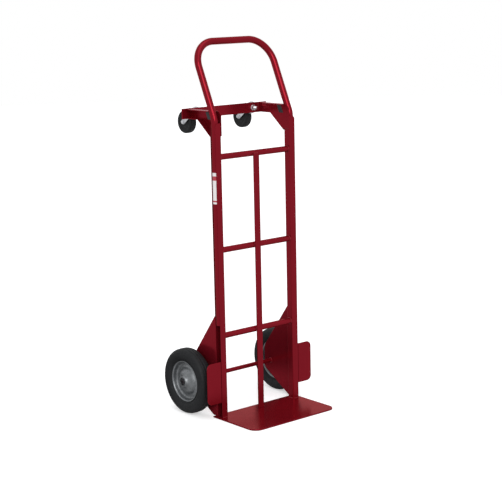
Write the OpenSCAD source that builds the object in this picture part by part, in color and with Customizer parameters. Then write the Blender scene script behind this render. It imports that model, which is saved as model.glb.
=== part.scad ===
// Convertible hand truck, standing upright in its two-wheel mode.
//
// Axes: +X is the operator's left and +Z is up. The toe plate reaches towards
// -Y and the wheels and casters sit on the +Y side. X = 0 is the middle of the
// truck and Z = 0 is the floor. Inside the modules Y = 0 is the load plane,
// the front face of the two rails; place() then centres the truck over the
// origin.

/* [Frame] */
// Inner face of each rail's web, from the middle
rail_inner_x = 162; // [140:1:180]
// Width of a rail's flanges, across the truck
rail_width = 26; // [15:1:30]
// Depth of a rail, front to back
rail_depth = 31; // [30:0.5:45]
// Sheet thickness of rails and arm brackets
sheet = 2.4; // [2:0.1:4]
// Outer radius of the rails' folds
fold_r = 4; // [3:0.5:6]
// Height where the rail's flanges stop
rail_top = 1090; // [900:5:1200]
// Outside diameter of the cross tubes
cross_tube_d = 22; // [18:1:30]
// Wall of the cross tubes
cross_tube_wall = 2; // [1:0.5:4]
// Height of the top cross tube
top_tube_z = 968; // [900:1:1050]
// Height of the middle cross tube
middle_tube_z = 629; // [500:1:750]
// Height of the bottom cross tube
bottom_tube_z = 310; // [250:1:400]
// Width of the centre strap
strap_width = 26; // [20:1:40]
// Thickness of the centre strap
strap_t = 5; // [3:0.5:8]

/* [Toe plate] */
// Width of the toe plate
toe_width = 400; // [300:1:460]
// Reach of the toe plate ahead of the load plane
toe_front = 198; // [150:1:260]
// Reach of the toe plate behind the load plane
toe_rear = 42; // [34:1:60]
// Thickness of the toe plate
toe_t = 5; // [3:0.5:8]
// Radius of its two front corners
toe_corner_r = 36; // [10:1:60]

/* [Wheel brackets and guards] */
// Thickness of the wheel bracket plates
bracket_t = 4.5; // [3:0.5:8]
// Height where a bracket meets its rail
bracket_top = 388; // [300:1:450]
// Reach of the bracket behind the load plane
bracket_reach = 192; // [160:1:220]
// Lower end of the bracket's upright rear edge
bracket_edge_low = 90; // [60:1:110]
// Upper end of the bracket's upright rear edge
bracket_edge_high = 176; // [130:1:200]
// Thickness of the wheel guards
guard_t = 4; // [3:0.5:6]
// Step between a guard's lap and its tab, from the middle
guard_step_x = 190.5; // [185:0.5:195]
// Outer edge of each guard, from the middle
guard_outer_x = 254; // [240:1:270]
// Bottom of the guards
guard_low = 63; // [50:1:90]
// Top of the guards
guard_high = 218; // [200:1:260]
// Radius of the guards' outer corners
guard_corner_r = 20; // [5:1:30]

/* [Handle] */
// Outside diameter of the handle tube
handle_d = 25.4; // [22:0.1:28]
// Wall of the handle tube
handle_wall = 2; // [1:0.5:4]
// Centre of each leg, from the middle
leg_x = 178; // [170:0.5:185]
// Height of the backward bend
kink_z = 1102; // [1000:1:1150]
// Lean of the loop behind the bend
lean = 24; // [10:0.5:35]
// Bend to the top of the loop, along the lean
loop_length = 296; // [200:1:350]
// Centreline radius of the loop's two corners
loop_r = 95; // [60:1:140]
// Centreline radius of the backward bend
kink_r = 60; // [40:1:120]
// Leg below the bend
leg_length = 750; // [600:5:800]

/* [Arm brackets] */
// Length of an arm behind its rail
arm_length = 143; // [100:1:180]
// Height of an arm
arm_height = 34; // [32:0.5:45]
// Top of the arms
arm_top = 1132; // [1050:1:1200]
// Gusset length along the arm
gusset_y = 74; // [40:1:100]
// Gusset length down the rail
gusset_z = 60; // [40:1:100]
// Drop of the bracket's lap down the rail's web
lap_drop = 88; // [60:1:120]
// Height of the crossbar
crossbar_height = 38; // [30:1:50]
// Thickness of the crossbar
crossbar_t = 5; // [4:0.5:8]
// Half length of the crossbar
crossbar_half = 200; // [185:1:210]

/* [Wheels] */
// Wheel diameter
wheel_d = 246; // [200:1:300]
// Tyre width
tyre_width = 58; // [45:1:70]
// Middle of each wheel, from the middle
wheel_x = 222; // [210:1:235]
// Axle behind the load plane
axle_y = 156; // [135:1:160]
// Axle diameter
axle_d = 15.9; // [12:0.1:20]
// Outer radius of the rim
rim_r = 77.5; // [60:0.5:90]
// Length of the hub barrel
hub_length = 60; // [50:1:70]
// Outside diameter of the hub barrel
hub_d = 36; // [30:1:45]
// Bearing outside diameter
bearing_d = 30; // [26:1:36]
// Bearing width
bearing_w = 12; // [8:1:16]
// Depth of the outer bearing inside the barrel
bearing_recess = 8; // [4:1:12]

/* [Casters] */
// Caster wheel diameter
caster_d = 85; // [60:1:90]
// Caster wheel width
caster_w = 28; // [18:1:32]
// Trail from swivel axis to caster axle
caster_trail = 36; // [15:1:45]
// Swivel axis, from the middle
caster_x = 133; // [110:1:150]
// Kingpin diameter
kingpin_d = 10; // [8:0.1:14]
// Caster axle diameter
caster_axle_d = 8; // [6:0.1:10]
// Fork leg sheet thickness
fork_t = 2.5; // [2:0.1:4]

/* [Hidden] */
$fn = 64;
fit_gap = 0.05;                       // radial clearance of a running fit
seat_gap = 0.03;                      // radial clearance of a fixed seat
leg_y = rail_depth / 2;
tube_y = strap_t + cross_tube_d / 2;  // the tubes lie behind the strap
web_x = rail_inner_x;                 // rail web: web_x .. web_x + sheet
lip_x = rail_inner_x + rail_width;    // tips of the rail's flanges
arm_web_x = rail_inner_x - sheet;     // arm bracket laps inside the web
arm_bottom = arm_top - arm_height;
arm_end_y = rail_depth + arm_length;
crossbar_y = arm_end_y;               // front face of the crossbar
crossbar_back = crossbar_y + crossbar_t;
kingpin_z = arm_top - arm_height / 2;
axle_z = wheel_d / 2;
// The caster's height puts its wheel on the same plane as the big wheels
// when the truck is laid down as a platform.
caster_back = axle_y + wheel_d / 2;
caster_y = caster_back - caster_d / 2;
caster_z = kingpin_z - caster_trail;
truck_front = -toe_front;
truck_back = max(caster_back, axle_y + wheel_d / 2);
center_y = (truck_front + truck_back) / 2;
hub_out = wheel_x + hub_length / 2;
hub_in = wheel_x - hub_length / 2;
bearing_out = hub_out - bearing_recess;
axle_end = hub_out - 2;

red = [0.55, 0.04, 0.08];
zinc = [0.75, 0.76, 0.78];
steel = [0.6, 0.61, 0.63];
black = [0.07, 0.07, 0.075];
white = [0.9, 0.88, 0.86];

// ---- helpers ---------------------------------------------------------

// Centre the truck over the origin.
module place() { translate([0, -center_y, 0]) children(); }

// The +X side as drawn, the -X side as its mirror image.
module side(s) { mirror([s < 0 ? 1 : 0, 0, 0]) children(); }

module both_sides() { for (s = [-1, 1]) side(s) children(); }

// A cylinder along +X from x0 to x1.
module rod_x(x0, x1, r) {
    translate([x0, 0, 0]) rotate([0, 90, 0]) cylinder(r = r, h = x1 - x0);
}

// A ring along +X from x0 to x1.
module ring_x(x0, x1, r_out, r_in) {
    difference() {
        rod_x(x0, x1, r_out);
        rod_x(x0 - 1, x1 + 1, r_in);
    }
}

// A ring along +Y from y0 to y1.
module ring_y(y0, y1, r_out, r_in) {
    translate([0, y0, 0]) rotate([-90, 0, 0]) difference() {
        cylinder(r = r_out, h = y1 - y0);
        translate([0, 0, -1]) cylinder(r = r_in, h = y1 - y0 + 2);
    }
}

// A flat plate in the YZ plane, x0 to x0 + t thick.
module plate_yz(x0, t) {
    translate([x0, 0, 0]) multmatrix([[0, 0, 1, 0], [1, 0, 0, 0],
        [0, 1, 0, 0], [0, 0, 0, 1]]) linear_extrude(t) children();
}

function unit(v) = v / norm(v);
function left_of(v) = [-v[1], v[0]];

// The mean left-hand normal of an open path at point i.
function path_normal(p, i) =
    let (a = p[max(i - 1, 0)], b = p[min(i + 1, len(p) - 1)])
    left_of(unit(b - a));

// The closed outline of a sheet whose left face follows path p.
function sheet_outline(p, t) = concat(p,
    [for (i = [len(p) - 1:-1:0]) p[i] - t * path_normal(p, i)]);

// Revolve an outline of [distance along X, radius] about the X axis.
module revolve_x() {
    rotate([90, 0, 90]) rotate_extrude($fn = 96)
        rotate(90) mirror([0, 1]) children();
}

// ---- frame -----------------------------------------------------------

function arc(c, r, a0, a1, n = 6) =
    [for (i = [0:n]) c + r * [cos(a0 + (a1 - a0) * i / n),
        sin(a0 + (a1 - a0) * i / n)]];

// Outward-opening folded channel, seen from above.
module rail_profile() {
    front = [web_x + fold_r, fold_r];
    rear = [web_x + fold_r, rail_depth - fold_r];
    polygon(concat([[lip_x, 0]], arc(front, fold_r, 270, 180),
        arc(rear, fold_r, 180, 90),
        [[lip_x, rail_depth], [lip_x, rail_depth - sheet]],
        arc(rear, fold_r - sheet, 90, 180),
        arc(front, fold_r - sheet, 180, 270), [[lip_x, sheet]]));
}

tip_chamfer = 7;                      // at the top of the flanges' lips

module rail(s) {
    color(red) place() side(s) difference() {
        translate([0, 0, toe_t]) linear_extrude(rail_top - toe_t)
            rail_profile();
        translate([lip_x, -1, rail_top]) rotate([0, 45, 0])
            cube([tip_chamfer * sqrt(2), rail_depth * 2.5,
                tip_chamfer * sqrt(2)], center = true);
    }
}

module rail_left() { rail(1); }
module rail_right() { rail(-1); }

module cross_tube(z) {
    color(red) place() translate([0, tube_y, z])
        ring_x(-web_x, web_x, cross_tube_d / 2,
            cross_tube_d / 2 - cross_tube_wall);
}

module cross_tube_top() { cross_tube(top_tube_z); }
module cross_tube_middle() { cross_tube(middle_tube_z); }
module cross_tube_bottom() { cross_tube(bottom_tube_z); }

module center_strap() {
    color(red) place() translate([-strap_width / 2, 0, toe_t])
        cube([strap_width, strap_t, top_tube_z - toe_t]);
}

module toe_plate() {
    color(red) place() linear_extrude(toe_t) union() {
        translate([-toe_width / 2, toe_corner_r - toe_front])
            square([toe_width, toe_rear + toe_front - toe_corner_r]);
        translate([toe_corner_r - toe_width / 2, -toe_front])
            square([toe_width - 2 * toe_corner_r, toe_corner_r + 1]);
        for (s = [-1, 1])
            translate([s * (toe_width / 2 - toe_corner_r),
                toe_corner_r - toe_front]) circle(toe_corner_r);
    }
}

module wheel_bracket(s) {
    corner = 7;
    foot_y = rail_depth + 24;
    color(red) place() side(s) difference() {
        plate_yz(lip_x - bracket_t, bracket_t) polygon([
            [rail_depth, toe_t], [foot_y, toe_t],
            [bracket_reach - corner, bracket_edge_low - corner * 0.6],
            [bracket_reach, bracket_edge_low + corner],
            [bracket_reach, bracket_edge_high - corner],
            [bracket_reach - corner * 0.6, bracket_edge_high + corner],
            [rail_depth, bracket_top]]);
        translate([0, axle_y, axle_z])
            rod_x(lip_x - bracket_t - 1, lip_x + 1, axle_d / 2 + fit_gap);
    }
}

module wheel_bracket_left() { wheel_bracket(1); }
module wheel_bracket_right() { wheel_bracket(-1); }

// A stepped plate: its lap lies behind the rail's front flange and its tab
// stands in the load plane.
module wheel_guard(s) {
    lap_x = web_x + sheet + 5;
    height = guard_high - guard_low;
    flat = guard_outer_x - guard_corner_r - guard_step_x;
    color(red) place() side(s) union() {
        translate([lap_x, sheet, guard_low])
            cube([guard_step_x + guard_t - lap_x, guard_t, height]);
        translate([guard_step_x, guard_t, guard_low]) rotate([90, 0, 0])
            linear_extrude(guard_t) union() {
                square([flat, height]);
                translate([flat - 1, guard_corner_r])
                    square([guard_corner_r + 1,
                        height - 2 * guard_corner_r]);
                for (z = [guard_corner_r, height - guard_corner_r])
                    translate([flat, z]) circle(guard_corner_r);
            }
    }
}

module wheel_guard_left() { wheel_guard(1); }
module wheel_guard_right() { wheel_guard(-1); }

// ---- arm brackets ----------------------------------------------------

// Rear side of the leaning handle tube at height z.
function tube_rear(z) = leg_y + (z - kink_z) * tan(lean)
    + handle_d / 2 / cos(lean);

// The pad's side view; grow widens it all round for its window.
module pad_outline(grow = 0) {
    gap = 1.8;
    length = 22;
    low = arm_bottom + sheet + 1 - grow;
    high = arm_top - sheet - 1 + grow;
    polygon([
        [tube_rear(low) + gap - grow, low],
        [tube_rear(low) + gap + length + grow, low],
        [tube_rear(high) + gap + length + grow, high],
        [tube_rear(high) + gap - grow, high]]);
}

module arm_bracket(s) {
    flange = rail_width + sheet - 2;   // from the arm's web to its lips
    top_start = tube_rear(arm_top) + 0.6;
    diag = atan2(gusset_z, gusset_y);
    foot_z = arm_bottom - gusset_z;
    color(red) place() side(s) union() {
        difference() {
            plate_yz(arm_web_x, sheet) polygon([
                [0, arm_top - lap_drop], [rail_depth, arm_top - lap_drop],
                [rail_depth, foot_z],
                [rail_depth + gusset_y, arm_bottom],
                [arm_end_y, arm_bottom], [arm_end_y, arm_top],
                [12, arm_top], [0, arm_top - 12]]);
            plate_yz(arm_web_x - 1, sheet + 2) pad_outline(0.05);
        }
        // top flange, from behind the handle tube to the crossbar
        translate([arm_web_x, top_start, arm_top - sheet])
            cube([flange, arm_end_y - top_start, sheet]);
        // lower flange, along the arm and down the gusset to the rail
        plate_yz(arm_web_x, flange) polygon([
            [rail_depth, foot_z],
            [rail_depth + gusset_y, arm_bottom],
            [arm_end_y, arm_bottom], [arm_end_y, arm_bottom + sheet],
            [rail_depth + gusset_y - sheet * tan(diag / 2),
                arm_bottom + sheet],
            [rail_depth, foot_z + sheet / cos(diag)]]);
    }
}

module arm_bracket_left() { arm_bracket(1); }
module arm_bracket_right() { arm_bracket(-1); }

// Plugs that fill the windows in the two arm webs and the channel outside.
module guide_pads() {
    proud = 1.5;
    outward = 18;
    color(black) place() both_sides()
        plate_yz(arm_web_x - proud, proud + sheet + outward) pad_outline();
}

module caster_crossbar() {
    color(red) place() difference() {
        translate([-crossbar_half, crossbar_y,
            kingpin_z - crossbar_height / 2])
            cube([2 * crossbar_half, crossbar_t, crossbar_height]);
        both_sides() translate([caster_x, crossbar_y - 1, kingpin_z])
            rotate([-90, 0, 0])
            cylinder(r = kingpin_d / 2 + fit_gap, h = crossbar_t + 2);
    }
}

// ---- axle ------------------------------------------------------------

module axle_shaft() {
    color(red) place() translate([0, axle_y, axle_z])
        rod_x(-axle_end, axle_end, axle_d / 2);
}

module axle_rings(x0, x1, r_out) {
    place() both_sides() translate([0, axle_y, axle_z])
        ring_x(x0, x1, r_out, axle_d / 2 + fit_gap);
}

module axle_spacers() {
    color(zinc) axle_rings(lip_x, hub_in - 0.6, 13);
}

module axle_washers() {
    color(zinc) axle_rings(bearing_out + 0.5, bearing_out + 2.5, 13);
}

module push_nuts() {
    color(steel) axle_rings(bearing_out + 2.5, axle_end - 1, 11.5);
}

// ---- handle ----------------------------------------------------------

module tube_profile() {
    difference() {
        circle(handle_d / 2);
        circle(handle_d / 2 - handle_wall);
    }
}

// A quarter or shorter bend in the XZ plane: it leaves the origin along +Z
// and curves towards +X about a centre at [r, 0, 0].
module tube_bend(r, angle) {
    translate([r, 0, 0]) rotate([90, 0, 180]) rotate_extrude(angle = angle)
        translate([r, 0]) tube_profile();
}

module handle_tube() {
    tangent = kink_r * tan(lean / 2);
    straight = loop_length - tangent - loop_r;
    color(red) place() union() {
        both_sides() translate([leg_x, leg_y, kink_z]) {
            translate([0, 0, -leg_length])
                linear_extrude(leg_length - tangent) tube_profile();
            translate([0, 0, -tangent]) rotate([0, 0, 90])
                tube_bend(kink_r, lean);
            rotate([-lean, 0, 0]) {
                translate([0, 0, tangent]) linear_extrude(straight)
                    tube_profile();
                translate([0, 0, tangent + straight])
                    rotate([0, 0, 180]) tube_bend(loop_r, 90);
            }
        }
        translate([0, leg_y, kink_z]) rotate([-lean, 0, 0])
            translate([0, 0, loop_length]) rotate([0, 90, 0])
            translate([0, 0, loop_r - leg_x])
            linear_extrude(2 * (leg_x - loop_r)) tube_profile();
    }
}

// A blank label around part of the operator's right leg.
module handle_label() {
    label_low = 801;
    label_high = 914;
    label_t = 0.4;
    arc_start = 118;
    arc = 116;
    color(white) place() translate([-leg_x, leg_y, label_low])
        rotate([0, 0, arc_start]) rotate_extrude(angle = arc)
        translate([handle_d / 2, 0])
        square([label_t, label_high - label_low]);
}

// ---- wheels ----------------------------------------------------------

tread_r = wheel_d / 2;
shoulder_r = (tread_r + rim_r) / 2 + 1;    // radius of the tyre's widest line
seat_u = 18;                              // inner face of the rim's lip
bead_u = seat_u - 0.5;                    // half width of the tyre's bead
bead_r = rim_r - 2.4;

// Half of the tyre's section: a squarish round from bead to tread.
function tyre_half() = [for (a = [-54:6:90])
    let (c = max(cos(a), 0), n = abs(sin(a)), h = a < 0 ? -1 : 1)
    [tyre_width / 2 * pow(c, 0.62),
     shoulder_r + h * (tread_r - shoulder_r) * pow(n, 0.8)]];

module tyre(s) {
    half = tyre_half();
    groove_w = 2.4;
    groove_depth = 1.6;
    color(black) place() side(s) translate([wheel_x, axle_y, axle_z])
        revolve_x() difference() {
            polygon(concat(
                [[-bead_u, rim_r + 1], [-bead_u, bead_r + 2],
                 [1.5 - bead_u, bead_r], [bead_u - 1.5, bead_r],
                 [bead_u, bead_r + 2], [bead_u, rim_r + 1]],
                half, [for (i = [len(half) - 2:-1:0])
                    [-half[i][0], half[i][1]]]));
            for (u = [-12, 0, 12]) translate([u - groove_w / 2,
                tread_r - groove_depth - abs(u) * 0.06])
                square([groove_w, 5]);
        }
}

module tyre_left() { tyre(1); }
module tyre_right() { tyre(-1); }

// Front face of the stamped outer rim, from its lip to the hub, as
// [distance outward of the wheel's middle, radius].
rim_t = 2;
rim_face = [
    [seat_u + rim_t, rim_r], [seat_u + rim_t, rim_r - 3],
    [seat_u - 0.5, rim_r - 5.5], [seat_u - 5, rim_r - 6.5],
    [7, rim_r - 8], [3.5, rim_r - 10], [rim_t, rim_r - 14],
    [rim_t, rim_r - 22], [4, rim_r - 27], [10, rim_r - 32],
    [14.5, rim_r - 37], [17.5, rim_r - 44], [20, rim_r - 49],
    [24, rim_r - 53.5], [28, rim_r - 56],
    [hub_length / 2, rim_r - 57.5],
    [hub_length / 2, hub_d / 2 + seat_gap]];

module rim_half(s, facing) {
    color(steel) place() side(s) translate([wheel_x, axle_y, axle_z])
        mirror([facing < 0 ? 1 : 0, 0, 0]) revolve_x()
        polygon(sheet_outline(rim_face, rim_t));
}

module rim_outer_left() { rim_half(1, 1); }
module rim_inner_left() { rim_half(1, -1); }
module rim_outer_right() { rim_half(-1, 1); }
module rim_inner_right() { rim_half(-1, -1); }

module hub_barrel(s) {
    color(steel) place() side(s) translate([0, axle_y, axle_z])
        ring_x(hub_in, hub_out, hub_d / 2, bearing_d / 2);
}

module hub_barrel_left() { hub_barrel(1); }
module hub_barrel_right() { hub_barrel(-1); }

module bearings(s) {
    color(black) place() side(s) translate([0, axle_y, axle_z])
        for (x = [hub_in, bearing_out - bearing_w])
            ring_x(x, x + bearing_w, bearing_d / 2 - seat_gap,
                axle_d / 2 + fit_gap);
}

module bearings_left() { bearings(1); }
module bearings_right() { bearings(-1); }

// ---- casters ---------------------------------------------------------

race_r = 23;
upper_race_t = 4;
race_gap = 0.4;
lower_race_y = crossbar_back + upper_race_t + race_gap;
lower_race_t = 6;
fork_top_y = lower_race_y + lower_race_t;
fork_inner = caster_w / 2 + 2.2;
head_t = 4;

module at_kingpins() {
    place() both_sides() translate([caster_x, 0, kingpin_z]) children();
}

module at_caster(s) {
    place() side(s) translate([caster_x, 0, kingpin_z]) children();
}

module kingpins() {
    stud = 24;
    color(zinc) at_kingpins() {
        translate([0, crossbar_y - stud, 0]) rotate([-90, 0, 0])
            cylinder(d = kingpin_d,
                h = fork_top_y + fork_t + race_gap + stud - crossbar_y);
        translate([0, fork_top_y + fork_t + race_gap, 0])
            rotate([-90, 0, 0]) cylinder(r1 = 9, r2 = 7, h = head_t);
    }
}

module kingpin_washers() {
    color(zinc) at_kingpins() ring_y(crossbar_y - 2, crossbar_y, 10.5,
        kingpin_d / 2 + fit_gap);
}

module kingpin_nuts() {
    color(zinc) at_kingpins() translate([0, crossbar_y - 10.5, 0])
        rotate([-90, 0, 0]) difference() {
            cylinder(d = 19, h = 8.5, $fn = 6);
            translate([0, 0, -1])
                cylinder(r = kingpin_d / 2 + fit_gap, h = 11);
        }
}

module upper_races() {
    color(zinc) at_kingpins()
        ring_y(crossbar_back, crossbar_back + upper_race_t, race_r,
            kingpin_d / 2 + fit_gap);
}

module lower_race(s) {
    color(zinc) at_caster(s) translate([0, lower_race_y, 0])
        rotate([-90, 0, 0]) difference() {
            cylinder(r1 = race_r, r2 = race_r - 3, h = lower_race_t);
            translate([0, 0, -1]) cylinder(r = kingpin_d / 2 + fit_gap,
                h = lower_race_t + 2);
        }
}

module lower_race_left() { lower_race(1); }
module lower_race_right() { lower_race(-1); }

// Side view of a fork leg, drawn as [Y, Z] about the kingpin.
module fork_leg_outline() {
    polygon([
        [fork_top_y, 17], [fork_top_y + 7, 19],
        [fork_top_y + 13, 12],
        [caster_y + 7, 6.5 - caster_trail],
        [caster_y + 9, -caster_trail],
        [caster_y + 6, -caster_trail - 7],
        [caster_y, -caster_trail - 9],
        [caster_y - 7, -caster_trail - 6.5],
        [fork_top_y + 6, -17], [fork_top_y, -17]]);
}

module fork(s) {
    bore = caster_axle_d / 2 + fit_gap;
    color(zinc) at_caster(s) difference() {
        union() {
            translate([-fork_inner - fork_t, fork_top_y, -17])
                cube([2 * (fork_inner + fork_t), fork_t, 34]);
            for (x = [-fork_inner - fork_t, fork_inner])
                plate_yz(x, fork_t) fork_leg_outline();
        }
        translate([0, fork_top_y - 1, 0]) rotate([-90, 0, 0])
            cylinder(r = kingpin_d / 2 + fit_gap, h = fork_t + 2);
        translate([0, caster_y, -caster_trail])
            rod_x(-fork_inner - fork_t - 1, fork_inner + fork_t + 1, bore);
    }
}

module fork_left() { fork(1); }
module fork_right() { fork(-1); }

module caster_bolt(s) {
    head_x = fork_inner + fork_t;
    color(zinc) at_caster(s) translate([0, caster_y, -caster_trail]) {
        rod_x(-head_x - 8, head_x, caster_axle_d / 2);
        translate([head_x, 0, 0]) rotate([0, 90, 0])
            cylinder(d = 14, h = 4.5, $fn = 6);
    }
}

module caster_bolt_left() { caster_bolt(1); }
module caster_bolt_right() { caster_bolt(-1); }

module caster_nut(s) {
    face = -fork_inner - fork_t;
    color(zinc) at_caster(s) translate([face - 6, caster_y, -caster_trail])
        rotate([0, 90, 0]) difference() {
            cylinder(d = 14, h = 6, $fn = 6);
            translate([0, 0, -1])
                cylinder(r = caster_axle_d / 2 + fit_gap, h = 8);
        }
}

module caster_nut_left() { caster_nut(1); }
module caster_nut_right() { caster_nut(-1); }

bush_r = caster_axle_d / 2 + 2;

module caster_wheel(s) {
    r = caster_d / 2;
    w = caster_w / 2;
    round_r = 6;
    bore = bush_r + fit_gap;
    color(black) at_caster(s) translate([0, caster_y, -caster_trail])
        revolve_x() polygon(concat(
            [[-w, bore], [w, bore], [w, 13], [w - 2, 15], [w - 2, 26],
             [w, 28]],
            [for (a = [0:15:90]) [w - round_r + round_r * cos(a),
                r - round_r + round_r * sin(a)]],
            [for (a = [90:-15:0]) [-w + round_r - round_r * cos(a),
                r - round_r + round_r * sin(a)]],
            [[-w, 28], [2 - w, 26], [2 - w, 15], [-w, 13]]));
}

module caster_wheel_left() { caster_wheel(1); }
module caster_wheel_right() { caster_wheel(-1); }

module caster_bush(s) {
    color(steel) at_caster(s) translate([0, caster_y, -caster_trail])
        ring_x(-fork_inner + 0.5, fork_inner - 0.5, bush_r,
            caster_axle_d / 2 + fit_gap);
}

module caster_bush_left() { caster_bush(1); }
module caster_bush_right() { caster_bush(-1); }

// ---- nodes -----------------------------------------------------------

rail_left();
rail_right();
cross_tube_top();
cross_tube_middle();
cross_tube_bottom();
center_strap();
toe_plate();
wheel_bracket_left();
wheel_bracket_right();
wheel_guard_left();
wheel_guard_right();
arm_bracket_left();
arm_bracket_right();
guide_pads();
caster_crossbar();
axle_shaft();
axle_spacers();
axle_washers();
push_nuts();
kingpins();
kingpin_washers();
kingpin_nuts();
upper_races();
handle_tube();
handle_label();
tyre_left();
rim_outer_left();
rim_inner_left();
hub_barrel_left();
bearings_left();
tyre_right();
rim_outer_right();
rim_inner_right();
hub_barrel_right();
bearings_right();
fork_left();
lower_race_left();
caster_bolt_left();
caster_nut_left();
caster_wheel_left();
caster_bush_left();
fork_right();
lower_race_right();
caster_bolt_right();
caster_nut_right();
caster_wheel_right();
caster_bush_right();
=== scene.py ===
import math

import bpy
from mathutils import Matrix, Vector


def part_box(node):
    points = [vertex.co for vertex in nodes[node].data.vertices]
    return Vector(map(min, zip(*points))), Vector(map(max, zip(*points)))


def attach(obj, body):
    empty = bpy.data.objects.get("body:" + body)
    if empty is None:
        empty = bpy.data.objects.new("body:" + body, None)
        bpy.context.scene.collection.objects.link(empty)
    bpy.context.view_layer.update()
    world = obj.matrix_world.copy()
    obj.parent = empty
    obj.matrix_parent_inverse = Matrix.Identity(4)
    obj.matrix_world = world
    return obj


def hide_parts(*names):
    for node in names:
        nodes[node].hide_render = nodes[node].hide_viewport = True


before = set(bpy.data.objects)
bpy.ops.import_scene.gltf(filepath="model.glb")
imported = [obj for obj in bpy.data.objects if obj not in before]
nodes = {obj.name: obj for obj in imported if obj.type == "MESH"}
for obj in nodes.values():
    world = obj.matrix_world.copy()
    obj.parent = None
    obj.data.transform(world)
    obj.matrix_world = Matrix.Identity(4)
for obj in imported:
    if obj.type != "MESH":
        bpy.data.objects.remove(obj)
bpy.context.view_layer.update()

SIDES = (("left", 1), ("right", -1))
RED = "red_enamel"
PAINT_SHEEN = 0.62    # the share of the paint that reflects in its own colour
AXLE_BARE_X = 0.1885  # outside the wheel brackets the axle is unpainted
LABEL_BANDS = ((0.8860, 0.9020), (0.8080, 0.8140))  # heights on the label
LOAD_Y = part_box("center_strap")[0].y  # the load plane, the front of the rails


# ---- camera ------------------------------------------------------------

scene = bpy.context.scene
camera_data = bpy.data.cameras.new("camera")
camera_data.sensor_width = 36.0
camera_data.lens = 99.5
camera_data.clip_start, camera_data.clip_end = 0.05, 200.0
camera = bpy.data.objects.new("camera", camera_data)
camera.location = (-3.241, LOAD_Y - 3.840, 1.582)
# The camera looks AHEAD degrees round and DOWN degrees down, then turns on its
# own upright axis to bring the truck to the middle.
AHEAD, DOWN, TO_MIDDLE = -46.22, 11.06, 6.25
camera.rotation_euler = (
    Matrix.Rotation(math.radians(AHEAD), 3, "Z")
    @ Matrix.Rotation(math.radians(90 - DOWN), 3, "X")
    @ Matrix.Rotation(math.radians(TO_MIDDLE), 3, "Y")
).to_euler()
scene.collection.objects.link(camera)
scene.camera = camera


# ---- material helpers ----------------------------------------------------


class Finish:
    """A Principled material with the few texture nodes used here."""

    def __init__(self, name, **values):
        self.material = bpy.data.materials.new(name)
        self.material.use_nodes = True
        self.tree = self.material.node_tree
        self.shader = self.tree.nodes["Principled BSDF"]
        for key, value in values.items():
            self.shader.inputs[key.replace("_", " ")].default_value = value
        self.place = self.node("ShaderNodeTexCoord").outputs["Object"]

    def node(self, kind, **settings):
        made = self.tree.nodes.new(kind)
        for key, value in settings.items():
            setattr(made, key, value)
        return made

    def link(self, source, target):
        self.tree.links.new(source, target)

    def noise(self, scale, detail=3.0, rough=0.55, stretch=(1, 1, 1), warp=0.0):
        mapping = self.node("ShaderNodeMapping")
        mapping.inputs["Scale"].default_value = stretch
        self.link(self.place, mapping.inputs["Vector"])
        made = self.node("ShaderNodeTexNoise")
        made.inputs["Scale"].default_value = scale
        made.inputs["Detail"].default_value = detail
        made.inputs["Roughness"].default_value = rough
        made.inputs["Distortion"].default_value = warp
        self.link(mapping.outputs["Vector"], made.inputs["Vector"])
        return made.outputs["Fac"]

    def cells(self, scale):
        made = self.node("ShaderNodeTexVoronoi")
        made.inputs["Scale"].default_value = scale
        self.link(self.place, made.inputs["Vector"])
        return made.outputs["Color"]

    def rings(self, scale, warp=0.6):
        made = self.node("ShaderNodeTexWave", wave_type="RINGS", rings_direction="X")
        made.inputs["Scale"].default_value = scale
        made.inputs["Distortion"].default_value = warp
        made.inputs["Detail"].default_value = 1.5
        self.link(self.place, made.inputs["Vector"])
        return made.outputs["Fac"]

    def spread(self, value, low, high, to_low=0.0, to_high=1.0):
        made = self.node("ShaderNodeMapRange")
        made.inputs["From Min"].default_value = low
        made.inputs["From Max"].default_value = high
        made.inputs["To Min"].default_value = to_low
        made.inputs["To Max"].default_value = to_high
        self.link(value, made.inputs["Value"])
        return made.outputs["Result"]

    def blend(self, share, first, second, kind="MIX"):
        made = self.node("ShaderNodeMix", data_type="RGBA", blend_type=kind)
        for socket, value in ((0, share), (6, first), (7, second)):
            if isinstance(value, (int, float)):
                made.inputs[socket].default_value = value
            elif isinstance(value, tuple):
                made.inputs[socket].default_value = (*value, 1.0)
            else:
                self.link(value, made.inputs[socket])
        return made.outputs[2]

    def math(self, kind, first, second=0.5):
        made = self.node("ShaderNodeMath", operation=kind)
        for socket, value in ((0, first), (1, second)):
            if isinstance(value, (int, float)):
                made.inputs[socket].default_value = value
            else:
                self.link(value, made.inputs[socket])
        return made.outputs[0]

    def axis(self, name):
        made = self.node("ShaderNodeSeparateXYZ")
        self.link(self.place, made.inputs[0])
        return made.outputs[name]

    def bumps(self, *layers):
        """Each layer is (height, strength, depth in metres)."""
        normal = None
        for height, strength, depth in layers:
            made = self.node("ShaderNodeBump")
            made.inputs["Strength"].default_value = strength
            made.inputs["Distance"].default_value = depth
            self.link(height, made.inputs["Height"])
            if normal:
                self.link(normal, made.inputs["Normal"])
            normal = made.outputs["Normal"]
        self.link(normal, self.shader.inputs["Normal"])

    def set(self, socket, source):
        self.link(source, self.shader.inputs[socket])


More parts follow.
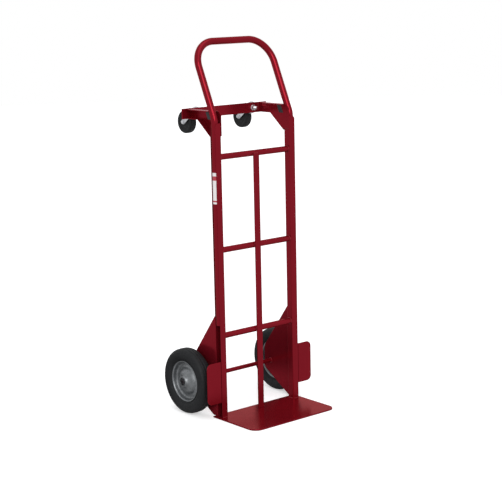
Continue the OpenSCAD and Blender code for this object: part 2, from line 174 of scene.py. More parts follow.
def enamel(name, bare_from=None):
    """Glossy red paint; beyond bare_from along X, in metres, it is bare steel."""
    f = Finish(
        name, Metallic=PAINT_SHEEN, Specular_Tint=(1.0, 0.16, 0.22, 1.0),
        Specular_IOR_Level=0.15, Coat_Weight=0.07, Coat_Roughness=0.20,
    )
    cloud = f.spread(f.noise(7, 4), 0.3, 0.7)
    colour = f.blend(cloud, (0.235, 0.0080, 0.0165), (0.262, 0.0092, 0.0188))
    speck = f.spread(f.noise(420, 2), 0.62, 0.8, 0.0, 0.35)
    colour = f.blend(speck, colour, (0.17, 0.003, 0.008))
    scuff = f.spread(f.noise(60, 5, 0.6, (1, 1, 0.12), 0.4), 0.70, 0.76)
    colour = f.blend(f.math("MULTIPLY", scuff, 0.35), colour, (0.33, 0.025, 0.035))
    rough = f.spread(f.noise(38, 4), 0.3, 0.75, 0.17, 0.27)
    if bare_from is not None:
        bare = f.spread(
            f.math("ABSOLUTE", f.axis("X")), bare_from, bare_from + 0.0006
        )
        steel = f.blend(f.noise(160, 4), (0.09, 0.09, 0.095), (0.20, 0.20, 0.21))
        colour = f.blend(bare, colour, steel)
        f.set("Metallic", f.spread(bare, 0.0, 1.0, PAINT_SHEEN, 1.0))
    f.set("Base Color", colour)
    f.set("Roughness", rough)
    peel = f.noise(330, 2)
    wave = f.noise(24, 2)
    f.bumps((wave, 0.12, 0.0006), (peel, 0.08, 0.0002), (scuff, 0.2, 0.00005))
    return f.material


def weld_enamel():
    """The same paint over a rougher weld."""
    f = Finish("weld_enamel", Metallic=0.5, Coat_Weight=0.15, Coat_Roughness=0.12)
    colour = f.blend(
        f.spread(f.noise(90, 4), 0.3, 0.7),
        (0.20, 0.0040, 0.011),
        (0.28, 0.0060, 0.016),
    )
    f.set("Base Color", colour)
    f.set("Roughness", f.spread(f.noise(150, 3), 0.3, 0.7, 0.30, 0.48))
    f.bumps((f.noise(520, 4), 0.5, 0.0005))
    return f.material


def rubber(name, dark, light, mould_rings, grain=1100):
    """Dusty black rubber with fine rings left by its mould."""
    f = Finish(name, Specular_IOR_Level=0.3)
    cloud = f.spread(f.noise(16, 5), 0.32, 0.72)
    colour = f.blend(cloud, dark, light)
    dust = f.spread(f.noise(240, 4, 0.7), 0.55, 0.8, 0.0, 0.4)
    colour = f.blend(dust, colour, tuple(1.7 * v for v in light))
    f.set("Base Color", colour)
    f.set("Roughness", f.spread(f.noise(120, 4), 0.3, 0.7, 0.52, 0.74))
    layers = [(f.noise(grain, 3), 0.4, 0.0003), (f.noise(45, 2), 0.2, 0.0006)]
    if mould_rings:
        layers.append((f.rings(mould_rings), 0.25, 0.00025))
    f.bumps(*layers)
    return f.material


def plated(name, low, high, rough, spangle=0.0, spin=0.0, tint=0.35):
    """Bare or plated steel, with crystal patches and spinning marks if given."""
    f = Finish(name, Metallic=1.0)
    cloud = f.spread(f.noise(55, 5, 0.6), 0.3, 0.7)
    colour = f.blend(cloud, low, high)
    if spangle:
        patch = f.blend(1.0, f.cells(spangle), f.cells(spangle * 2.3), "MULTIPLY")
        grey = f.node("ShaderNodeRGBToBW")
        f.link(patch, grey.inputs[0])
        patch = f.spread(grey.outputs[0], 0.05, 0.55)
        colour = f.blend(f.math("MULTIPLY", patch, tint), colour, (0.86, 0.87, 0.88))
    f.set("Base Color", colour)
    grain = f.noise(300, 4, 0.6)
    f.set("Roughness", f.spread(grain, 0.3, 0.7, rough[0], rough[1]))
    layers = [(grain, 0.12, 0.0002)]
    if spin:
        layers.append((f.rings(spin, 1.2), 0.18, 0.0002))
    f.bumps(*layers)
    return f.material


def nylon():
    """Moulded black plastic."""
    f = Finish("black_nylon", Specular_IOR_Level=0.45)
    colour = f.blend(f.noise(80, 4), (0.010, 0.010, 0.011), (0.020, 0.020, 0.021))
    f.set("Base Color", colour)
    f.set("Roughness", f.spread(f.noise(260, 3), 0.3, 0.7, 0.38, 0.55))
    f.bumps((f.noise(1400, 2), 0.35, 0.0002))
    return f.material


def film():
    """Pale printed film with two plain red bands."""
    f = Finish("label_film", Specular_IOR_Level=0.5, Coat_Weight=0.4)
    paper = f.blend(f.noise(60, 4), (0.86, 0.80, 0.79), (0.93, 0.90, 0.89))
    height, soft_edge = f.axis("Z"), 0.0004
    colour = paper
    for low, high in LABEL_BANDS:
        above = f.spread(height, low, low + soft_edge)
        below = f.spread(height, high, high - soft_edge)
        band = f.math("MULTIPLY", above, below)
        colour = f.blend(band, colour, (0.47, 0.03, 0.05))
    rub = f.spread(f.noise(210, 5, 0.65), 0.62, 0.75, 0.0, 0.5)
    f.set("Base Color", f.blend(rub, colour, (0.62, 0.57, 0.56)))
    f.set("Roughness", f.spread(f.noise(90, 3), 0.3, 0.7, 0.28, 0.45))
    f.bumps((f.noise(300, 3), 0.1, 0.0001))
    return f.material


red = enamel(RED)
axle_red = enamel("red_enamel_axle", bare_from=AXLE_BARE_X)
weld_red = weld_enamel()
tyre_black = rubber("tyre_rubber", (0.0075, 0.008, 0.009), (0.014, 0.0145, 0.016), 28)
caster_black = rubber(
    "caster_rubber", (0.007, 0.0075, 0.008), (0.012, 0.0125, 0.0135), 45, 1500
)
galvanised = plated(
    "rim_steel", (0.19, 0.20, 0.205), (0.27, 0.28, 0.29), (0.36, 0.50), 70, 24, 0.14
)
zinc = plated("zinc_plate", (0.66, 0.67, 0.69), (0.80, 0.81, 0.82), (0.20, 0.34), 160)
dark_steel = plated("dark_steel", (0.045, 0.045, 0.05), (0.10, 0.10, 0.105), (0.35, 0.5))
bush_steel = plated("bush_steel", (0.45, 0.45, 0.46), (0.58, 0.58, 0.59), (0.25, 0.4))
black_nylon = nylon()
label_film = film()

FINISHES = {
    "axle_shaft": axle_red,
    "axle_spacers": zinc,
    "axle_washers": zinc,
    "push_nuts": dark_steel,
    "kingpin_washers": zinc,
    "guide_pads": black_nylon,
    "handle_label": label_film,
    "hub_barrel": galvanised,
    "bearings": dark_steel,
    "fork": zinc,
    "caster_bush": bush_steel,
}


# ---- CAD nodes: finish, softened edges -------------------------------------


def soften(obj, width, segments=2, angle=32):
    """Round a CAD node's hard edges, with modifiers only."""
    weld = obj.modifiers.new("weld", "WELD")
    weld.merge_threshold = 0.00001
    flat = obj.modifiers.new("flat", "DECIMATE")
    flat.decimate_type = "DISSOLVE"
    flat.angle_limit = math.radians(0.6)
    edge = obj.modifiers.new("edge", "BEVEL")
    edge.width = width
    edge.segments = segments
    edge.limit_method = "ANGLE"
    edge.angle_limit = math.radians(angle)
    edge.use_clamp_overlap = True
    normals = obj.modifiers.new("normals", "WEIGHTED_NORMAL")
    normals.keep_sharp = False
    normals.weight = 80


EDGES = {  # bevel width in metres
    "center_strap": 0.0009,
    "toe_plate": 0.0011,
    "wheel_bracket": 0.0009,
    "wheel_guard": 0.0009,
    "arm_bracket": 0.0006,
    "caster_crossbar": 0.0010,
    "rail": 0.0006,
    "fork": 0.0007,
    "guide_pads": 0.0008,
    "axle_shaft": 0.0008,
    "axle_spacers": 0.0004,
    "axle_washers": 0.0004,
    "push_nuts": 0.0005,
    "kingpin_washers": 0.0004,
    "bearings": 0.0005,
    "hub_barrel": 0.0005,
}


def family(name, table, default):
    """The table's entry for a node's name or the longest start of it."""
    for key in sorted(table, key=len, reverse=True):
        if name == key or name.startswith(key + "_"):
            return table[key]
    return default


for name, obj in nodes.items():
    obj.data.materials.clear()
    obj.data.materials.append(family(name, FINISHES, red))
    obj.data.shade_smooth()
    width = family(name, EDGES, 0.0)
    if width:
        soften(obj, width)


# ---- mesh helpers ------------------------------------------------------------


def build(name, body, slot, material, verts, faces, origin=(0, 0, 0), sharp=35):
    """A smooth mesh piece that rides on a body; sharp is in degrees."""
    mesh = bpy.data.meshes.new(name)
    mesh.from_pydata([tuple(v) for v in verts], [], faces)
    mesh.validate()
    mesh.shade_smooth()
    mesh.set_sharp_from_angle(angle=math.radians(sharp))
    mesh.materials.append(material)
    obj = bpy.data.objects.new(name, mesh)
    scene.collection.objects.link(obj)
    obj.location = origin
    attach(obj, body)
    return obj


def skin(rows, loop_rows=False):
    """Verts and faces of a grid whose every row is a closed ring."""
    verts = [v for row in rows for v in row]
    n = len(rows[0])
    faces = []
    last = len(rows) if loop_rows else len(rows) - 1
    for i in range(last):
        a, b = i * n, (i + 1) % len(rows) * n
        for j in range(n):
            k = (j + 1) % n
            faces.append((a + j, a + k, b + k, b + j))
    return verts, faces


def capped(rows):
    """Like skin, with a face over each end."""
    verts, faces = skin(rows)
    n = len(rows[0])
    faces.append(tuple(reversed(range(n))))
    faces.append(tuple(range((len(rows) - 1) * n, len(rows) * n)))
    return verts, faces


def join(*parts):
    """Several (verts, faces) as one."""
    verts, faces = [], []
    for some_verts, some_faces in parts:
        start = len(verts)
        verts += some_verts
        faces += [tuple(start + i for i in face) for face in some_faces]
    return verts, faces


def rounded(points, times=2, closed=False):
    """Chaikin's corner cutting on an outline."""
    for _ in range(times):
        n = len(points)
        cut = []
        for i in range(n if closed else n - 1):
            a, b = Vector(points[i]), Vector(points[(i + 1) % n])
            cut += [a.lerp(b, 0.25), a.lerp(b, 0.75)]
        if not closed:
            cut = [Vector(points[0])] + cut + [Vector(points[-1])]
        points = cut
    return [Vector(p) for p in points]


def lathe(profile, n=96, facing=1):
    """A closed outline of (distance along X, radius) in mm, turned about X."""
    rows = []
    for u, r in profile:
        row = []
        for j in range(n):
            a = math.tau * j / n
            row.append(
                Vector((facing * u, r * math.cos(a), r * math.sin(a))) / 1000
            )
        rows.append(row if facing > 0 else row[::-1])
    return skin(rows, loop_rows=True)


def turned_to(direction, verts):
    """Turn verts made about +X so that they lie about direction."""
    turn = Vector((1, 0, 0)).rotation_difference(Vector(direction)).to_matrix()
    return [turn @ v for v in verts]


def frames(path):
    """A centre, side and up vector for each point of a path."""
    out = []
    side = None
    for i, p in enumerate(path):
        ahead = (path[min(i + 1, len(path) - 1)] - path[max(i - 1, 0)]).normalized()
        if side is None:
            side = ahead.orthogonal().normalized()
        side = (side - ahead * side.dot(ahead)).normalized()
        out.append((p, side, ahead.cross(side)))
    return out


def tube_rows(path, radius, n=40, radii=None):
    """Rings of n points about a path, of one radius or one of radii each."""
    rows = []
    for i, (p, side, up) in enumerate(frames(path)):
        r = radii[i] if radii else radius
        rows.append(
            [
                p + side * (r * math.cos(math.tau * j / n))
                + up * (r * math.sin(math.tau * j / n))
                for j in range(n)
            ]
        )
    return rows


def at(x, y, z):
    """mm from the load plane, as metres in the row frame."""
    return Vector((x / 1000, y / 1000 + LOAD_Y, z / 1000))


# ---- handle ------------------------------------------------------------------

# The bend's place in mm from the middle, the load plane and the floor.
LEG_X, LEG_Y, KINK_Z, LEG_LENGTH = 178.0, 15.5, 1102.0, 750.0
LEAN, KINK_R, LOOP_R, LOOP_LENGTH = math.radians(24), 60.0, 95.0, 296.0
TUBE_OUTSIDE, TUBE_INSIDE = 0.0127, 0.0107  # radii in metres
LABEL_WALLS = (0.01276, 0.01308)  # the label's inner and outer radius
LABEL_START, LABEL_ARC = 118, 116  # degrees about the leg


def handle_path():
    """The centreline of the operator's left half, from the leg's foot up."""
    tangent = KINK_R * math.tan(LEAN / 2)
    lean = Vector((0, math.sin(LEAN), math.cos(LEAN)))
    bend = Vector((LEG_X, LEG_Y, KINK_Z))
    half = [Vector((LEG_X, LEG_Y, KINK_Z - LEG_LENGTH))]
    start = bend - Vector((0, 0, tangent))
    half += [half[0].lerp(start, i / 12) for i in range(1, 12)]
    for i in range(9):
        a = LEAN * i / 8
        turn = Vector((0, 1 - math.cos(a), math.sin(a)))
        half.append(start + KINK_R * turn)
    corner = bend + lean * (LOOP_LENGTH - LOOP_R)
    first = half[-1]
    half += [first.lerp(corner, i / 6) for i in range(1, 6)]
    for i in range(25):
        a = math.pi / 2 * i / 24
        inward = Vector((-LOOP_R * (1 - math.cos(a)), 0, 0))
        half.append(corner + inward + lean * (LOOP_R * math.sin(a)))
    return half


half = handle_path()
centre = [at(*p) for p in half] + [at(-p.x, p.y, p.z) for p in reversed(half)]
outside = tube_rows(centre, TUBE_OUTSIDE)
inside = tube_rows(centre, TUBE_INSIDE)
handle_mesh = skin([*outside, *reversed(inside)], loop_rows=True)
handle = build("handle_tube_bent", "handle", RED, red, *handle_mesh, sharp=40)
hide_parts("handle_tube")


def label_arc(wall, steps=40):
    """Points of the label's section on one of its walls, at floor level."""
    turns = [
        math.radians(LABEL_START + LABEL_ARC * i / steps) for i in range(steps + 1)
    ]
    return [
        at(-LEG_X, LEG_Y, 0) + wall * Vector((math.cos(a), math.sin(a), 0))
        for a in turns
    ]


label_low, label_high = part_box("handle_label")
label_inner, label_outer = (label_arc(wall) for wall in LABEL_WALLS)
label_section = label_outer + label_inner[::-1]
label_mesh = capped(
    [[p + Vector((0, 0, end.z)) for p in label_section] for end in (label_low, label_high)]
)
label = build(
    "handle_label_film", "handle", "label_film", label_film, *label_mesh, sharp=30
)
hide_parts("handle_label")


# ---- wheels --------------------------------------------------------------------

TREAD_R, RIM_R, TYRE_W = 123.0, 77.5, 58.0
SHOULDER_R = (TREAD_R + RIM_R) / 2 + 1
# mould marks on the sidewall: radius, half width, rise
MARKS = ((85.0, 1.2, 0.5), (106.0, 0.9, -0.6), (113.5, 1.0, -0.7))
GROOVES = (12.0, 0.0, -12.0)  # places of the tread's three grooves


def tyre_outline():
    """The tyre's closed section, as (distance along the axle, radius)."""
    half = []
    for a in range(-54, 91, 3):
        c = max(math.cos(math.radians(a)), 0.0)
        s = math.sin(math.radians(a))
        lift = math.copysign(abs(s) ** 0.8, s)
        half.append((TYRE_W / 2 * c**0.62, SHOULDER_R + (TREAD_R - SHOULDER_R) * lift))
    bead = [(16.0, RIM_R - 2.3), (17.5, RIM_R - 0.5), (17.5, RIM_R + 1.0)]
    right = bead + half[:-1]
    marked = []
    for u, r in right:
        for line, width, rise in MARKS:
            near = max(0.0, 1 - abs(r - line) / width)
            u += rise * near * (1 if u > 0 else -1)
        marked.append((min(u, TYRE_W / 2), r))
    tread = []
    for u in GROOVES:
        top = TREAD_R - abs(u) * 0.05
        tread += [
            (u + 1.5, top), (u + 1.1, top - 0.4), (u + 0.7, top - 1.6),
            (u - 0.7, top - 1.6), (u - 1.1, top - 0.4), (u - 1.5, top),
        ]
    outer = [p for p in marked if p[1] < TREAD_R - 1.2 or p[0] > 15]
    outer += [(14.0, TREAD_R - 0.75)]
    return outer + tread + [(-u, r) for u, r in reversed(outer)]


# The pressed rim's outer face from its lip to the hub.
RIM_FACE = [
    (20.0, 77.1), (20.4, 75.9), (20.0, 74.5), (17.5, 72.0), (13.0, 71.0),
    (7.0, 69.5), (3.5, 67.5), (2.0, 63.5), (2.0, 55.5), (4.0, 50.5),
    (10.0, 45.5), (14.5, 40.5), (17.5, 33.5), (20.0, 28.5), (24.0, 24.0),
    (28.0, 21.5), (29.8, 20.0), (29.9, 18.1),
]


def sheet(points, thickness):
    """The closed outline of a sheet with one face on the given points."""
    back = []
    for i, p in enumerate(points):
        a, b = points[max(i - 1, 0)], points[min(i + 1, len(points) - 1)]
        along = (b - a).normalized()
        back.append(p - thickness * Vector((-along.y, along.x)))
    return points + back[::-1]


rim_outline = sheet(rounded(RIM_FACE, 2), 2.0)
tyre_profile = tyre_outline()


for side, sign in SIDES:
    low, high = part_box(f"tyre_{side}")
    hub = (low + high) / 2
    body = f"wheel_{side}_body"
    tyre = build(
        f"tyre_{side}_moulding", body, "tyre_rubber", tyre_black,
        *lathe(tyre_profile, 144), origin=hub, sharp=50,
    )
    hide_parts(f"tyre_{side}")
    for half_name, facing in (("outer", sign), ("inner", -sign)):
        rim = build(
            f"rim_{half_name}_{side}_pressing", body, "rim_steel", galvanised,
            *lathe(rim_outline, 128, facing), origin=hub, sharp=50,
        )
        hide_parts(f"rim_{half_name}_{side}")


# ---- threads and nuts --------------------------------------------------------


def threaded(length, radius, pitch=1.5, depth=0.85, n=24, plain=0.0):
    """A rod along +X from 0, in mm: chamfered tip at 0, thread up to length - plain."""
    rows = []
    steps = int((length - plain) / pitch * 6)
    for i in range(steps + 1):
        x = (length - plain) * i / steps
        row = []
        for j in range(n):
            phase = (x / pitch - j / n) % 1.0
            cut = depth * (1 - abs(2 * phase - 1))
            tip = min(1.0, x / 1.2)
            run_out = min(1.0, (length - plain - x) / 1.5) if plain else 1.0
            r = min(radius - cut * run_out, radius - 1.1 * (1 - tip))
            a = math.tau * j / n
            row.append(Vector((x, r * math.cos(a), r * math.sin(a))) / 1000)
        rows.append(row)
    if plain:
        end = [
            Vector((length, radius * math.cos(math.tau * j / n),
                    radius * math.sin(math.tau * j / n))) / 1000
            for j in range(n)
        ]
        rows.append(end)
    return capped(rows)


def hexagon(across, height, bore, x=0.0):
    """A chamfered nut along +X, in mm, with a bore or bore 0 for a bolt head."""
    n = 72
    apothem = across / 2
    chamfer_r = apothem * 0.97

    def ring(radius_of, x_of):
        row = []
        for j in range(n):
            a = math.tau * j / n
            hexed = apothem / math.cos((a + math.pi / 6) % (math.pi / 3) - math.pi / 6)
            r = radius_of(hexed)
            row.append(Vector((x + x_of(hexed), r * math.cos(a), r * math.sin(a))) / 1000)
        return row

    fall = math.tan(math.radians(28))
    inner = max(bore, 0.01)
    rows = [
        ring(lambda h: inner, lambda h: 0.6),
        ring(lambda h: inner + (0.6 if bore else 0), lambda h: 0.0),
        ring(lambda h: chamfer_r, lambda h: 0.0),
        ring(lambda h: h, lambda h: max(0.0, (h - chamfer_r) * fall)),
        ring(lambda h: h, lambda h: height - max(0.0, (h - chamfer_r) * fall)),
        ring(lambda h: chamfer_r, lambda h: height),
        ring(lambda h: inner + (0.6 if bore else 0), lambda h: height),
        ring(lambda h: inner, lambda h: height - 0.6),
    ]
    return skin(rows, loop_rows=True)


# ---- casters -------------------------------------------------------------------

PIN_R, PIN_BORE, HEAD_H, THREAD_LENGTH = 5.0, 5.05, 4.0, 24.0
BOLT_R, BOLT_BORE, BOLT_THREAD, BOLT_ACROSS = 4.0, 4.05, 14.0, 12.1
HEAD_OUTLINE = [(0, 0.01), (0, 9.0), (1.4, 9.0), (3.2, 7.6), (4.0, 4.5), (4.0, 0.01)]
WHEEL_HALF = [  # a caster wheel's section, from its bore to its tread
    (14.0, 6.1), (14.0, 12.6), (13.3, 13.6), (12.3, 15.2), (12.0, 17.0),
    (12.0, 27.0), (12.4, 29.6), (13.6, 31.2), (14.0, 32.8), (13.9, 36.8),
    (12.7, 40.4), (9.4, 42.2), (4.0, 42.5),
]
WHEEL_OUTLINE = rounded(WHEEL_HALF + [(-u, r) for u, r in reversed(WHEEL_HALF)], 1, True)


def on_pin(side, y, part):
    """A part made about +X, turned to lie about side's kingpin from y back."""
    low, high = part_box(f"lower_race_{side}")
    place = Vector(((low.x + high.x) / 2, y, (low.z + high.z) / 2))
    verts, faces = part
    return [v + place for v in turned_to((0, 1, 0), verts)], faces


def kingpin(side):
    low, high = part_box("kingpins")
    shank = (high.y - low.y) * 1000 - HEAD_H
    stud = threaded(shank, PIN_R, plain=shank - THREAD_LENGTH)
    verts, faces = lathe(rounded(HEAD_OUTLINE, 1), 48)
    head = ([v + Vector((shank / 1000, 0, 0)) for v in verts], faces)
    return on_pin(side, low.y, join(stud, head))


def kingpin_nut(side):
    return on_pin(side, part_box("kingpin_nuts")[0].y, hexagon(16.4, 8.5, PIN_BORE))


def upper_race(side):
    low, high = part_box("upper_races")
    deep = (high.y - low.y) * 1000
    cap = [
        (0, PIN_BORE), (0, 20.5), (0.4, 22.4), (1.6, 22.9), (deep, 22.9),
        (deep, 20.6), (deep - 1.2, 19.0), (deep - 1.2, PIN_BORE),
    ]
    return on_pin(side, low.y, lathe(rounded(cap, 1), 64))


def lower_race(side):
    low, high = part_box(f"lower_race_{side}")
    deep = (high.y - low.y) * 1000
    bowl = [
        (0, PIN_BORE), (0, 21.4), (0.5, 22.9), (1.8, 22.9), (2.6, 21.9),
        (3.2, 20.6), (deep - 0.6, 19.4), (deep, 17.4), (deep, PIN_BORE),
    ]
    return on_pin(side, low.y, lathe(rounded(bowl, 1), 64))


def caster_bolt(side, sign):
    """A bolt whose head is outside the fork, and the X of its tail."""
    head_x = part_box(f"fork_{side}")[1 if sign > 0 else 0].x
    tail_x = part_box(f"caster_bolt_{side}")[0 if sign > 0 else 1].x
    shank = abs(head_x - tail_x) * 1000
    verts, faces = join(
        threaded(shank, BOLT_R, pitch=1.25, depth=0.6, plain=shank - BOLT_THREAD),
        hexagon(BOLT_ACROSS, 4.5, 0.0, x=shank),
    )
    if sign < 0:
        faces = [tuple(reversed(f)) for f in faces]
    return ([Vector((sign * v.x, v.y, v.z)) for v in verts], faces), tail_x


for side, sign in SIDES:
    swivel = f"caster_{side}_swivel_body"
    race = build(
        f"lower_race_{side}_pressed", swivel, "zinc_plate", zinc,
        *lower_race(side), sharp=50,
    )
    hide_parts(f"lower_race_{side}")

    low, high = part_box(f"caster_wheel_{side}")
    middle = (low + high) / 2
    wheel = build(
        f"caster_wheel_{side}_moulding", f"caster_{side}_wheel_body", "caster_rubber",
        caster_black, *lathe(WHEEL_OUTLINE, 96), origin=middle, sharp=50,
    )
    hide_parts(f"caster_wheel_{side}")

    bolt_mesh, tail_x = caster_bolt(side, sign)
    bolt = build(
        f"caster_bolt_{side}_threaded", swivel, "zinc_plate", zinc, *bolt_mesh,
        origin=(tail_x, middle.y, middle.z), sharp=30,
    )
    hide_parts(f"caster_bolt_{side}")
    nut_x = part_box(f"caster_nut_{side}")[0].x
    nut = build(
        f"caster_nut_{side}_hex", swivel, "zinc_plate", zinc,
        *hexagon(BOLT_ACROSS, 6.0, BOLT_BORE),
        origin=(nut_x, middle.y, middle.z), sharp=30,
    )
    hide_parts(f"caster_nut_{side}")


for name, node, made_for, sharp in (
    ("kingpins_threaded", "kingpins", kingpin, 30),
    ("kingpin_nuts_hex", "kingpin_nuts", kingpin_nut, 30),
    ("upper_races_pressed", "upper_races", upper_race, 50),
):
    mesh = join(*(made_for(side) for side, _ in SIDES))
    piece = build(name, "frame", "zinc_plate", zinc, *mesh, sharp=sharp)
    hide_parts(node)


# ---- welds -----------------------------------------------------------------------


def wobble(i, seed):
    """A repeatable uneven number from 0 to 1."""
    return math.sin(i * 12.9898 + seed * 78.233) * 43758.5453 % 1.0


BEAD_STEP, RIPPLE_LENGTH = 0.0009, 0.0034  # metres along a bead


def bead(points, radius=1.9, closed=False, seed=0):
    """A rippled weld bead along mm points, as rings of vertices."""
    path = [at(*p) for p in points]
    if closed:
        path.append(path[0])
    fine = []
    for a, b in zip(path, path[1:]):
        steps = max(2, int((b - a).length / BEAD_STEP))
        fine += [a.lerp(b, i / steps) for i in range(steps)]
    fine.append(path[-1])
    n = len(fine)
    radii = []
    for i in range(n):
        ripple = 0.86 + 0.14 * abs(math.sin(i * BEAD_STEP / RIPPLE_LENGTH * math.pi))
        ripple *= 0.93 + 0.14 * wobble(i // 4, seed)
        taper = 1.0 if closed else min(1.0, 0.35 + min(i, n - 1 - i) / 3.0 * 0.65)
        radii.append(radius / 1000 * ripple * taper)
    return capped(tube_rows(fine, 0, 8, radii))


def circle(x, y, z, r, n=24):
    """Points about an axis along X."""
    return [
        (x, y + r * math.cos(math.tau * i / n), z + r * math.sin(math.tau * i / n))
        for i in range(n)
    ]


# mm from the middle and from the load plane
WEB_X, LIP_X, RAIL_D, SHEET, TOE_T, STRAP_T = 162.0, 188.0, 31.0, 2.4, 5.0, 5.0
TUBE_Y, TUBE_R = 16.0, 11.0
ARM_X, ARM_TOP, ARM_LOW, ARM_END = WEB_X - SHEET, 1132.0, 1098.0, RAIL_D + 143.0
BRACKET_IN = LIP_X - 4.5
AXLE_Y, AXLE_Z, AXLE_R = 156.0, 123.0, 7.95
LAP_X = WEB_X + SHEET + 4.8

CROSS_TUBES, STRAP_SIDE = (310.0, 629.0, 968.0), 13.2
RAIL_BACK, BRACKET_BACK = RAIL_D + 0.2, 42.0
LAP_LOW, LAP_HIGH = 1043.6, 1080.0


def rail_beads(s):
    """The welds on one side's rail: cross tubes, foot, wheel bracket, axle."""
    for z in CROSS_TUBES:
        yield bead(circle(s * (WEB_X - 0.6), TUBE_Y, z, TUBE_R + 0.5), 2.0, True, z)
    foot_z = TOE_T + 0.3
    yield bead([
        (s * (WEB_X - 0.3), 3.5, foot_z),
        (s * (WEB_X - 0.3), RAIL_D - 3.5, foot_z),
        (s * (WEB_X + 3.0), RAIL_D + 0.3, foot_z),
        (s * (BRACKET_IN - 1), RAIL_D + 0.3, foot_z),
    ], 2.2, seed=s + 2)
    yield bead(
        [(s * (WEB_X + 4), 0.6, TOE_T), (s * (LIP_X - 1), 0.6, TOE_T)], 1.5, seed=s + 5)
    for z in (40, 150, 250, 350):
        x = s * (BRACKET_IN - 0.2)
        yield bead([(x, RAIL_BACK, z - 19), (x, RAIL_BACK, z + 17)], 2.0, seed=z + s)
    x = s * (BRACKET_IN - 0.3)
    yield bead([(x, RAIL_D + 1, TOE_T), (x, BRACKET_BACK, TOE_T)], 2.0, seed=s + 9)
    ring = circle(s * (BRACKET_IN - 0.5), AXLE_Y, AXLE_Z, AXLE_R + 0.4)
    yield bead(ring, 1.9, True, s + 11)


def arm_beads(s):
    """The welds of one arm bracket: its lap on the rail, the crossbar's end."""
    x = s * (WEB_X - 0.2)
    yield bead([(x, 1.5, LAP_LOW), (x, RAIL_D - 4, LAP_LOW)], 1.8, seed=s + 14)
    yield bead([(x, RAIL_D - 0.5, 1046), (x, RAIL_D - 0.5, LAP_HIGH)], 1.4, seed=s + 16)
    x, y = s * (ARM_X - 0.2), ARM_END - 0.2
    yield bead([(x, y, ARM_LOW + 3), (x, y, ARM_TOP - 2)], 1.9, seed=s + 18)
    z = ARM_LOW - 0.1
    yield bead([(s * (ARM_X + 3), y, z), (s * (ARM_X + 17), y, z)], 1.6, seed=s + 19)


def guard_and_strap_beads(s):
    """The short welds of one guard, and of the strap on each cross tube."""
    for z in (84, 144, 204):
        x, y = s * LAP_X, SHEET + 0.5
        yield bead([(x, y, z - 12), (x, y, z + 12)], 1.4, seed=z + s + 21)
    x, y = s * STRAP_SIDE, STRAP_T - 0.4
    for z in CROSS_TUBES[:2]:
        yield bead([(x, y, z - 8), (x, y, z + 8)], 1.7, seed=z + s + 25)
    yield bead([(x, y, 959), (x, y, 967)], 1.7, seed=s + 27)


beads = []
for s in (1, -1):
    beads += [*rail_beads(s), *arm_beads(s), *guard_and_strap_beads(s)]
strap_foot = [(x, STRAP_T + 0.2, TOE_T + 0.2) for x in (-12, 12)]
beads.append(bead(strap_foot, 2.2, seed=31))
beads.append(bead([(-11, 3.0, 968.3), (11, 3.0, 968.3)], 2.0, seed=33))
build("weld_beads", "frame", RED, weld_red, *join(*beads), sharp=80)


# ---- floor and light -------------------------------------------------------------


PAPER, SHADOW_GREY = 0.62, 0.03  # greys of the floor and of the truck's painted shadow on it, in reflections
SHADOW_PLACE, SHADOW_R = (-0.30, 0.68, 0), 0.55


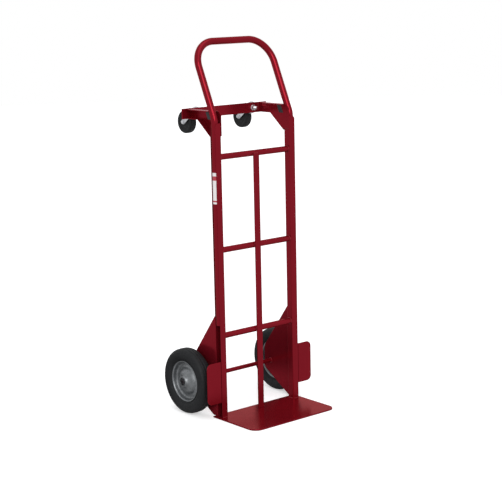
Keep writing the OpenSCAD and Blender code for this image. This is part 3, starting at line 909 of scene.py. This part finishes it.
def floor_paper():
    """Nearly white to the eye; in reflections grey, with a painted shadow of the truck
    behind it.
    """
    f = Finish("floor_white", Roughness=0.9, Specular_IOR_Level=0.05)
    tone = f.blend(f.noise(3, 3), (0.855, 0.855, 0.855), (0.862, 0.862, 0.862))
    f.set("Base Color", tone)
    f.shader.inputs["Emission Color"].default_value = (1, 1, 1, 1)
    f.shader.inputs["Emission Strength"].default_value = 0.45
    dim = f.node("ShaderNodeBsdfDiffuse")
    spot = f.node("ShaderNodeMapping", vector_type="TEXTURE")
    spot.inputs["Location"].default_value = SHADOW_PLACE
    spot.inputs["Scale"].default_value = (SHADOW_R, SHADOW_R, SHADOW_R)
    f.link(f.place, spot.inputs["Vector"])
    fade = f.node("ShaderNodeTexGradient", gradient_type="SPHERICAL")
    f.link(spot.outputs["Vector"], fade.inputs["Vector"])
    # painted shadow: a dark round patch on the floor behind the truck, seen only in
    # reflections
    shade = f.spread(fade.outputs["Fac"], 0.05, 0.45)
    f.link(f.blend(shade, (PAPER,) * 3, (SHADOW_GREY,) * 3), dim.inputs["Color"])
    pick = f.node("ShaderNodeMixShader")
    f.link(f.node("ShaderNodeLightPath").outputs["Is Camera Ray"], pick.inputs[0])
    f.link(dim.outputs[0], pick.inputs[1])
    f.link(f.shader.outputs[0], pick.inputs[2])
    f.link(pick.outputs[0], f.tree.nodes["Material Output"].inputs["Surface"])
    return f.material


FLOOR_R, FLOOR_SIDES = 14, 96
floor_mesh = bpy.data.meshes.new("floor")
turns = [math.tau * i / FLOOR_SIDES for i in range(FLOOR_SIDES)]
ring = [(FLOOR_R * math.cos(a), FLOOR_R * math.sin(a), 0) for a in turns]
floor_mesh.from_pydata(ring, [], [tuple(range(FLOOR_SIDES))])
floor = bpy.data.objects.new("floor", floor_mesh)
floor.location = (0, 0, -0.0004)
floor_mesh.materials.append(floor_paper())
scene.collection.objects.link(floor)


def sun(name, azimuth, elevation, strength, angle):
    """A soft distant light; azimuth is where it comes from, 0 in front, 90 at +X."""
    data = bpy.data.lights.new(name, "SUN")
    data.energy = strength
    data.angle = math.radians(angle)
    obj = bpy.data.objects.new(name, data)
    a, e = math.radians(azimuth), math.radians(elevation)
    back = Vector((math.sin(a) * math.cos(e), -math.cos(a) * math.cos(e), math.sin(e)))
    obj.rotation_mode = "QUATERNION"
    obj.rotation_quaternion = back.to_track_quat("Z", "Y")
    scene.collection.objects.link(obj)
    return obj


sun("key", -30, 30, 1.15, 40)
sun("top", 30, 70, 0.5, 50)

world = bpy.data.worlds.new("studio")
world.use_nodes = True
scene.world = world
tree = world.node_tree
tree.nodes.clear()
path = tree.nodes.new("ShaderNodeLightPath")
seen = tree.nodes.new("ShaderNodeBackground")
seen.inputs[0].default_value = (1, 1, 1, 1)
lit = tree.nodes.new("ShaderNodeBackground")
lit.inputs[0].default_value = (0.97, 0.98, 1.0, 1)
lit.inputs[1].default_value = 0.70
pick = tree.nodes.new("ShaderNodeMixShader")
out = tree.nodes.new("ShaderNodeOutputWorld")
tree.links.new(path.outputs["Is Camera Ray"], pick.inputs[0])
tree.links.new(lit.outputs[0], pick.inputs[1])
tree.links.new(seen.outputs[0], pick.inputs[2])
tree.links.new(pick.outputs[0], out.inputs[0])

scene.view_settings.view_transform = "Standard"
scene.view_settings.look = "None"
scene.view_settings.exposure = 0.0
scene.view_settings.gamma = 1.0
